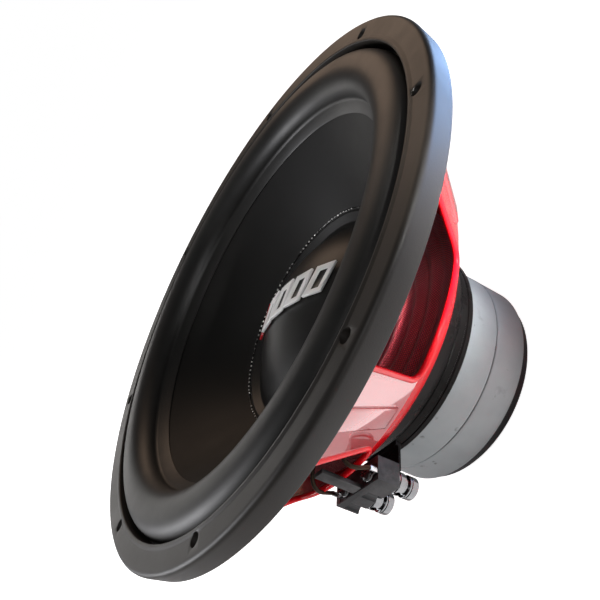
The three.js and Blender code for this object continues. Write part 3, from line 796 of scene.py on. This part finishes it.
def dust_cap_dome():
    foot_from, foot_to = cap_outer - 0.9 * MM, dome_base + 1.2 * MM
    path = filleted([
        (cap_outer, cone_height(cap_outer) + cap_lift * 0.6),
        (foot_from, cone_height(foot_from) + cap_lift, 0.6 * MM),
        (foot_to, cone_height(foot_to) + cap_lift, 1.2 * MM),
        (dome_edge, dome_height(dome_edge)),
    ], 6)
    rings = 18
    for k in range(1, rings + 1):
        radius = dome_edge * (1 - k / rings)
        path.append(Vector((radius, dome_height(radius))))
    under = [Vector((point.x, point.y - cap_wall)) for point in reversed(path)]
    cap = turned("dust_cap_dome", path + under, 160, True, 50)
    fit(cap, CONE, "cap_black", "dust_cap")


def cap_glue_line():
    """A thin uneven line of glue round the cap's foot."""
    radius, thick, count = cap_outer + 1.0 * MM, 0.42 * MM, 420
    z = cone_height(radius) + 0.5 * MM
    points = []
    for k in range(count):
        angle = FULL_TURN * k / count
        drift = 0.16 * MM * math.sin(angle * 37) + 0.10 * MM * math.sin(angle * 91 + 1.3)
        points.append((*polar(radius + drift, angle), z + 0.14 * MM * math.sin(angle * 140)))
    line = tube("cap_glue_line", points, thick, True, 2)
    fit(line, CONE, "bead_glue", "cap_bead")


def recess(bar):
    """Sinks the middle of a bar's broad top face and lists the sunk faces."""
    top = max(bar.data.polygons, key=lambda face: face.area * (face.normal.z > 0.7)).index
    only(bar)
    bpy.ops.object.mode_set(mode="EDIT")
    bpy.ops.mesh.select_all(action="DESELECT")
    in_object()
    bar.data.polygons[top].select = True
    bpy.ops.object.mode_set(mode="EDIT")
    bpy.ops.mesh.select_mode(type="FACE")
    bpy.ops.mesh.inset(thickness=2.6 * MM, depth=0)
    bpy.ops.mesh.inset(thickness=0.5 * MM, depth=-0.8 * MM)
    bpy.ops.mesh.select_mode(type="VERT")
    in_object()
    sunk = [face.index for face in bar.data.polygons if face.select]
    smooth(bar, 30)
    return sunk


def badge():
    edge = 0.28 * MM
    accent = refined("badge_accent", "badge_accent_plate", edge, 3)
    fit(accent, CONE, "badge_red", "badge_accent")
    for k in range(1, 5):
        node = f"badge_bar_{k}"
        bar = refined(node, node + "_plate", edge, 3)
        sunk = recess(bar)
        fit(bar, CONE, "badge_silver", node)
        repaint(bar, "cap_black", [bar.data.polygons[index] for index in sunk])


# ---- basket ----------------------------------------------------------------------------------

flange_inner = trim_inner - 2 * MM
cup_outer = high("top_plate").x + 3 * MM
ledge_inner = cup_outer + 9.5 * MM
ledge_outer = ledge_inner + 8 * MM
ledge_z = flange_rear - 66.5 * MM
sill_radius = ledge_outer + 14 * MM
sill_z = flange_rear - 53.7 * MM
window_top_z = flange_rear - 6 * MM
window_half = math.radians(spoke_step / 2 - 11)


def wall_radius(z):
    return sill_radius + (flange_inner - sill_radius) * (z - sill_z) / (flange_rear - sill_z)


def window_outline(grow=0.0, steps=9):
    """The window's round-cornered outline as (sideways, height) points."""
    corner = 8 * MM
    low_half = sill_radius * math.sin(window_half) - grow
    high_half = wall_radius(window_top_z) * math.sin(window_half) - grow
    corners = [Vector((-low_half, sill_z + grow)), Vector((low_half, sill_z + grow)),
               Vector((high_half, window_top_z - grow)), Vector((-high_half, window_top_z - grow))]
    outline = []
    for i, here in enumerate(corners):
        start = here + (corners[i - 1] - here).normalized() * corner
        end = here + (corners[(i + 1) % 4] - here).normalized() * corner
        outline += bend(start, here, end, steps)
    return outline


def window_punch(bearing):
    """A punch with the window's outline, driven out through the wall."""
    inside, run = 60 * MM, 100 * MM
    outline = window_outline()
    nothing_selected()
    bpy.ops.mesh.primitive_circle_add(vertices=len(outline), radius=MM, fill_type="NGON")
    punch = bpy.context.object
    for vertex, (side, z) in zip(punch.data.vertices, outline):
        vertex.co = (inside, side, z)
    in_edit(punch)
    bpy.ops.mesh.extrude_region_move(TRANSFORM_OT_translate={"value": (run, 0, 0)})
    bpy.ops.mesh.select_all(action="SELECT")
    bpy.ops.mesh.normals_make_consistent(inside=False)
    in_object()
    punch.rotation_euler.z = math.radians(bearing)
    return settle(punch)


def window_lip(bearing, name):
    """The rolled edge round a window."""
    thick, sunk, spacing = 1.55 * MM, 0.45 * MM, 4 * MM
    outline = window_outline(-0.2 * MM, 7)
    dense = []
    for i, here in enumerate(outline):
        after = outline[(i + 1) % len(outline)]
        parts = max(1, int((after - here).length / spacing))
        dense += [here.lerp(after, k / parts) for k in range(parts)]
    turn = Matrix.Rotation(math.radians(bearing), 3, "Z")
    points = []
    for side, z in dense:
        radius = wall_radius(z) - sunk
        points.append(turn @ Vector((math.sqrt(radius ** 2 - side ** 2), side, z)))
    lip = tube(name, points, thick, True, 3)
    fit(lip, BASKET, "basket_paint")
    # Painted light: the whole lip takes the brighter lit copy of the basket's red.
    repaint(lip, "lit_lip_paint", lip.data.polygons)


def spoke_rib(bearing, name):
    """A pressed rib down the middle of a spoke."""
    top_z, foot_z = flange_rear - 12 * MM, sill_z + 5 * MM
    run = Vector((wall_radius(top_z) - wall_radius(foot_z), top_z - foot_z))
    deep, wide, long = 1.4 * MM, 6 * MM, run.length / 2
    rib = brick(name, (-deep, deep), (-wide, wide), (-long, long))
    apply(rib, "BEVEL", width=1.1 * MM, segments=3, limit_method="NONE")
    rib.rotation_euler = (0, math.atan2(run.x, run.y), 0)
    rib.location = ((wall_radius(top_z) + wall_radius(foot_z)) / 2, 0, (top_z + foot_z) / 2)
    settle(rib)
    rib.rotation_euler.z = math.radians(bearing)
    settle(rib)
    smooth(rib, 60)
    fit(rib, BASKET, "basket_paint")


def basket_shell():
    path = filleted([
        (flange_outer, flange_rear),
        (flange_inner, flange_rear, 5 * MM),
        (sill_radius, sill_z, 4 * MM),
        (ledge_outer, ledge_z, 5 * MM),
        (ledge_inner, ledge_z - 0.8 * MM, 3 * MM),
        (cup_outer + 2.5 * MM, basket_foot + 4.5 * MM, 3 * MM),
        (cup_outer - 1 * MM, basket_foot, 3 * MM),
        (cup_outer - 23 * MM, basket_foot),
    ], 6)
    shell = turned("basket_shell", walled(path, steel), 144, True, 40)
    punches = [window_punch(window_phase + spoke_step * k) for k in range(spoke_count)]
    for angle in bolt_bearings:
        place = polar(bolt_circle, angle)
        punches.append(rod("drill", 2.8 * MM, flange_rear - MM, flange_face + MM, 20, place))
    cut(shell, joined("punches", punches))
    soften(shell, 0.35 * MM, 2, 50)
    smooth(shell, 35)
    fit(shell, BASKET, "basket_paint", "basket")
    cup_top, shelf_top = ledge_z - 1.2 * MM, sill_z + 1.5 * MM
    lower = [face for face in shell.data.polygons if face.center.z < shelf_top]
    # Painted shade: the basket's cup below the ledge takes the black plate finish in place of its red paint.
    repaint(shell, "plate_black", [face for face in lower if face.center.z < cup_top])
    # Painted light: the shelf between the cup and the sill takes the brighter lit copy of the red.
    repaint(shell, "lit_lip_paint", [face for face in lower if face.center.z >= cup_top])
    for k in range(spoke_count):
        window_lip(window_phase + spoke_step * k, f"window_lip_{k + 1}")
        spoke_rib(spoke_phase + spoke_step * k, f"spoke_rib_{k + 1}")


# ---- motor -----------------------------------------------------------------------------------


def magnet_ring(node, name):
    foot, top, outer, bore = low(node).z, high(node).z, high(node).x, 32 * MM
    edge = 1.2 * MM
    profile = filleted([
        (bore, foot), (outer - 0.2 * MM, foot, 1.0 * MM), (outer, foot + edge, 0.8 * MM),
        (outer, top - edge, 0.8 * MM), (outer - 0.2 * MM, top, 1.0 * MM), (bore, top),
    ], 4)
    fit(turned(name, profile, 160), BASKET, "ferrite", node)


def motor():
    magnet_ring("rear_magnet", "rear_ferrite_ring")
    magnet_ring("front_magnet", "front_ferrite_ring")
    outer, bore, groove = high("top_plate").x, 28.9 * MM, 0.5 * MM
    plate = turned("front_plate", filleted([
        (bore, plate_foot), (outer - 0.8 * MM, plate_foot),
        (outer, plate_foot + 0.8 * MM, 0.4 * MM), (outer, plate_foot + 3.2 * MM),
        (outer - groove, plate_foot + 3.6 * MM), (outer - groove, plate_foot + 4.4 * MM),
        (outer, plate_foot + 4.8 * MM), (outer, plate_top - 1.2 * MM, 0.6 * MM),
        (outer - 1.2 * MM, plate_top, 0.6 * MM), (bore, plate_top),
    ], 3), 160)
    fit(plate, BASKET, "plate_black", "top_plate")
    reach, pole, vent = high("yoke").x, 24.6 * MM, 9 * MM
    yoke_top, pole_top = 7.2 * MM, high("yoke").z
    yoke = turned("yoke_forging", filleted([
        (vent, 0), (24 * MM, 0, 0.5 * MM), (25 * MM, 1.0 * MM, 0.5 * MM),
        (44 * MM, 1.0 * MM, 0.5 * MM), (45 * MM, 0, 0.5 * MM), (reach - 2 * MM, 0, 1 * MM),
        (reach, 2 * MM, 1 * MM), (reach, yoke_top, 0.4 * MM), (pole, yoke_top, 1 * MM),
        (pole, pole_top, 1 * MM), (vent, pole_top),
    ], 4), 128)
    fit(yoke, BASKET, "yoke_black", "yoke")
    screw = refined("plate_screw_1", "front_plate_screw_1", 0.2 * MM)
    fit(screw, BASKET, "zinc", "plate_screw_1")


# ---- terminal --------------------------------------------------------------------------------

terminal_bearing = -133
block_inner = ledge_outer + 4 * MM
block_outer = block_inner + 13 * MM
block_top = flange_rear - 64.2 * MM
block_foot = block_top - 13 * MM
block_from, block_to = -14 * MM, 20 * MM
post_x = block_outer - 6.4 * MM
post_y = {"a": 13.5 * MM, "b": -5.5 * MM}
posts_middle = 4 * MM
post_radius = 5.8 * MM
lug_x = block_outer - 4.6 * MM


def swing(piece):
    piece.rotation_euler.z = math.radians(terminal_bearing)
    return settle(piece)


def shift(piece, x=0.0, y=0.0, z=0.0):
    piece.location = (x, y, z)
    return settle(piece)


def terminal_block():
    block = brick("terminal_housing", (block_inner, block_outer), (block_from, block_to),
                  (block_foot, block_top))
    below, recess_top, notch_top = block_foot - MM, block_foot + 5 * MM, block_top - 4 * MM
    recess_radius, notch_radius, tray_half = 6.05 * MM, 3 * MM, 5.4 * MM
    cutters = []
    for y in post_y.values():
        cutters.append(rod("recess", recess_radius, below, recess_top, 32, (post_x, y)))
    for y in (block_from + 4.2 * MM, posts_middle):
        cutters.append(rod("notch", notch_radius, below, notch_top, 28, (block_outer, y)))
    for y in post_y.values():
        cutters.append(brick("tray", (block_outer - 9.0 * MM, block_outer - 0.9 * MM),
                             (y - tray_half, y + tray_half),
                             (block_top - 0.2 * MM, block_top + MM)))
    cut(block, *cutters)
    soften(block, 0.5 * MM, 3, 50)
    swing(smooth(block, 35))
    fit(block, BASKET, "terminal_plastic", "terminal_block")


def binding_post(tag, y):
    z, sleeve, core = block_foot, 4.6 * MM, 2.6 * MM
    body = turned("post_body_" + tag, filleted([
        (0, z + 4.7 * MM), (post_radius, z + 4.7 * MM), (post_radius, z - 1.0 * MM, 0.3 * MM),
        (5.3 * MM, z - 1.4 * MM, 0.2 * MM), (post_radius, z - 1.8 * MM, 0.3 * MM),
        (post_radius, z - 5.2 * MM, 0.5 * MM), (sleeve, z - 5.2 * MM, 0.2 * MM),
        (sleeve, z - 9.6 * MM), (core, z - 9.6 * MM), (core, z - 1.0 * MM), (0, z - 1.0 * MM),
    ], 3), 64)
    nothing_selected()
    bpy.ops.mesh.primitive_cylinder_add(vertices=24, radius=1.6 * MM, depth=20 * MM,
                                        location=(0, 0, z - 3.5 * MM),
                                        rotation=(0, math.pi / 2, 0))
    drill = settle(bpy.context.object)
    cut(body, drill)
    smooth(body, 35)
    swing(shift(body, post_x, y))
    fit(body, BASKET, "chrome", "post_" + tag)

    end = low("push_cap_" + tag).z
    opening, inside, stem = end + 5.4 * MM, 4.8 * MM, 1.2 * MM
    cap = turned("push_button_" + tag, filleted([
        (0, end + 0.35 * MM), (3.4 * MM, end + 0.35 * MM, 0.2 * MM), (3.8 * MM, end, 0.2 * MM),
        (post_radius, end, 1.0 * MM), (post_radius, opening - 1.6 * MM, 0.2 * MM),
        (5.45 * MM, opening - 1.3 * MM, 0.15 * MM), (post_radius, opening - 1.0 * MM, 0.2 * MM),
        (post_radius, opening, 0.4 * MM), (inside, opening), (inside, end + MM),
        (stem, end + MM), (stem, end + 5.8 * MM), (0, end + 5.8 * MM),
    ], 4), 64)
    swing(shift(cap, post_x, y))
    fit(cap, f"cap_{tag}_body", "chrome", "push_cap_" + tag)

    wire, coil, turns = 0.45 * MM, 1.9 * MM, 5
    foot, top = low("push_spring_" + tag).z + wire, high("push_spring_" + tag).z - wire
    points = []
    steps = turns * 20
    for k in range(steps + 1):
        t = k / steps
        points.append((*polar(coil, FULL_TURN * turns * t), foot + (top - foot) * t))
    spring = tube("post_spring_" + tag, points, wire, False, 2)
    swing(shift(spring, post_x, y))
    coat(spring, "zinc")
    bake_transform(spring, BASKET, f"cap_{tag}_body", (0, 0, top), (0, 0, foot))
    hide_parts("push_spring_" + tag)


def lug_and_screw(tag, y):
    eye = refined("lug_" + tag, "solder_lug_" + tag, 0.15 * MM)
    fit(eye, BASKET, "zinc", "lug_" + tag)
    seat = block_top + 1.4 * MM
    point, crown = seat - 4.4 * MM, seat + 2.6 * MM
    shank, rim = 1.3 * MM, 3.6 * MM
    head = turned("lug_screw_head_" + tag, filleted([
        (0, point), (shank, point), (shank, seat), (rim, seat, 0.2 * MM),
        (rim, seat + 1.3 * MM, 0.9 * MM), (2.2 * MM, crown, 1.2 * MM), (0, crown),
    ], 4), 48)
    along, across = (-2.4 * MM, 2.4 * MM), (-0.45 * MM, 0.45 * MM)
    depth = (seat + 1.5 * MM, seat + 4 * MM)
    cut(head, brick("slot", along, across, depth), brick("slot", across, along, depth))
    smooth(head, 35)
    swing(shift(head, lug_x, y))
    fit(head, BASKET, "black_screw", "lug_screw_" + tag)


def tinsel_lead(tag, y):
    side = 1 if y > posts_middle else -1
    eyelet, eyelet_side = 54 * MM, 7 * side * MM
    lug_top = block_top + 4.9 * MM
    eyelet_z = cone_height(eyelet) - 3.35 * MM
    points = [(lug_x + out * MM, y + side * apart * MM, lug_top + up * MM) for out, apart, up in (
        (0, 6, -0.4), (1.6, 5.6, 4), (3.2, 5, 8), (1.6, 4, 12), (-3, 3, 14.2), (-20, 0, 14))]
    points += [(eyelet + out * MM, eyelet_side, eyelet_z - down * MM) for out, down in (
        (18, 3.5), (9, 7), (1, 5.5), (0, 1.2))]
    lead = tube("braided_lead_" + tag, points, 1.1 * MM, False, 3, 8, True)
    swing(lead)
    coat(lead, "braid")
    turn = Matrix.Rotation(math.radians(terminal_bearing), 3, "Z")
    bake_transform(lead, BASKET, CONE, turn @ Vector((lug_x - 6 * MM, 0, lug_top)),
             turn @ Vector((eyelet + 2 * MM, 0, lug_top)))
    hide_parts("tinsel_lead_" + tag)


def terminal():
    terminal_block()
    for tag, y in post_y.items():
        binding_post(tag, y)
        lug_and_screw(tag, y)
        tinsel_lead(tag, y)
    strip = refined("lead_strip", "lead_strip_board", 0.3 * MM)
    fit(strip, BASKET, "strip_black", "lead_strip")
    tab = refined("terminal_bracket", "bracket_tab", 0.3 * MM)
    fit(tab, BASKET, "plate_black", "terminal_bracket")


trim_ring()
surround_ring()
spider_disc()
cone_shell()
dust_cap_dome()
cap_glue_line()
badge()
basket_shell()
motor()
terminal()

# ---- floor and light -------------------------------------------------------------------------


def floor():
    width, gap = 60, 0.2 * MM
    nothing_selected()
    bpy.ops.mesh.primitive_plane_add(size=width, location=(0, 0, -gap))
    sheet = bpy.context.object
    sheet.name = "floor"
    pale = bpy.data.materials.new("floor_pale")
    pale.use_nodes = True
    board = Board(pale.node_tree)
    shader = pale.node_tree.nodes["Principled BSDF"]
    shader.inputs["Base Color"].default_value = rgb(0.9, 0.9, 0.9)
    shader.inputs["Roughness"].default_value = 0.9
    shader.inputs["Specular IOR Level"].default_value = 0.0
    shader.inputs["Emission Color"].default_value = rgb(1, 1, 1)
    seen = board.add("ShaderNodeLightPath").outputs["Is Camera Ray"]
    board.plug(shader, "Emission Strength", board.span(seen, 0.0, 1.0, 0.12, 0.92))
    sheet.data.materials.append(pale)


def softbox(name, place, aim, size, radiance, colour=(1, 1, 1)):
    """A flat lamp of the given brightness, turned towards its aim."""
    lamp = bpy.data.lights.new(name, "AREA")
    lamp.shape = "RECTANGLE"
    lamp.size, lamp.size_y = size
    lamp.energy = radiance * math.pi * size[0] * size[1]
    lamp.color = colour
    box = bpy.data.objects.new(name, lamp)
    bpy.context.scene.collection.objects.link(box)
    box.location = place
    box.visible_camera = False
    box.rotation_euler = (Vector(aim) - Vector(place)).to_track_quat("-Z", "Y").to_euler()
    return box


def light():
    world = bpy.data.worlds.new("studio")
    bpy.context.scene.world = world
    world.use_nodes = True
    board = Board(world.node_tree)
    out = world.node_tree.nodes["World Output"]
    soft = world.node_tree.nodes["Background"]
    soft.inputs["Color"].default_value = rgb(1.0, 1.0, 1.0)
    soft.inputs["Strength"].default_value = 0.09
    white = board.add("ShaderNodeBackground", Color=rgb(1, 1, 1), Strength=1.0)
    seen = board.add("ShaderNodeLightPath").outputs["Is Camera Ray"]
    both = board.add("ShaderNodeMixShader", i0=seen, i1=soft.outputs[0], i2=white.outputs[0])
    world.node_tree.links.new(both.outputs[0], out.inputs["Surface"])
    middle, narrow = (0, 0, 0.12), math.radians(10)
    softbox("warm_key", (0.85, 1.4, 0.80), middle, (0.8, 0.6), 2.2, (1.0, 0.70, 0.50))
    softbox("left_sheen", (-1.1, 0.5, 0.8), middle, (0.6, 0.5), 12.0, (0.97, 0.97, 1.0))
    softbox("back_sheen", (-0.6, 1.7, 0.62), middle, (0.8, 0.40), 3.0, (1.0, 0.97, 0.94))
    softbox("front_fill", (0.2, -1.3, 0.72), middle, (0.5, 0.4), 4.0)
    inward = softbox("window_light", (0.26, -0.62, 0.20), (0.06, -0.08, 0.102), (0.05, 0.05), 16.0)
    inward.data.spread = narrow
    softbox("light_table", (0.05, -0.18, 0.002), (0.05, -0.18, 1), (0.44, 0.22), 1.35)
    softbox("blue_floor", (0.42, -0.04, 0.002), (0.42, -0.04, 1), (0.32, 0.40), 9.5,
            (0.36, 0.58, 1.0))
    badge_spot = softbox("badge_spot", (0.0, -0.50, 0.72), (0, 0, 0.125), (0.1, 0.1), 0.32)
    badge_spot.data.spread = narrow
    bpy.context.scene.view_settings.view_transform = "Standard"


floor()
light()
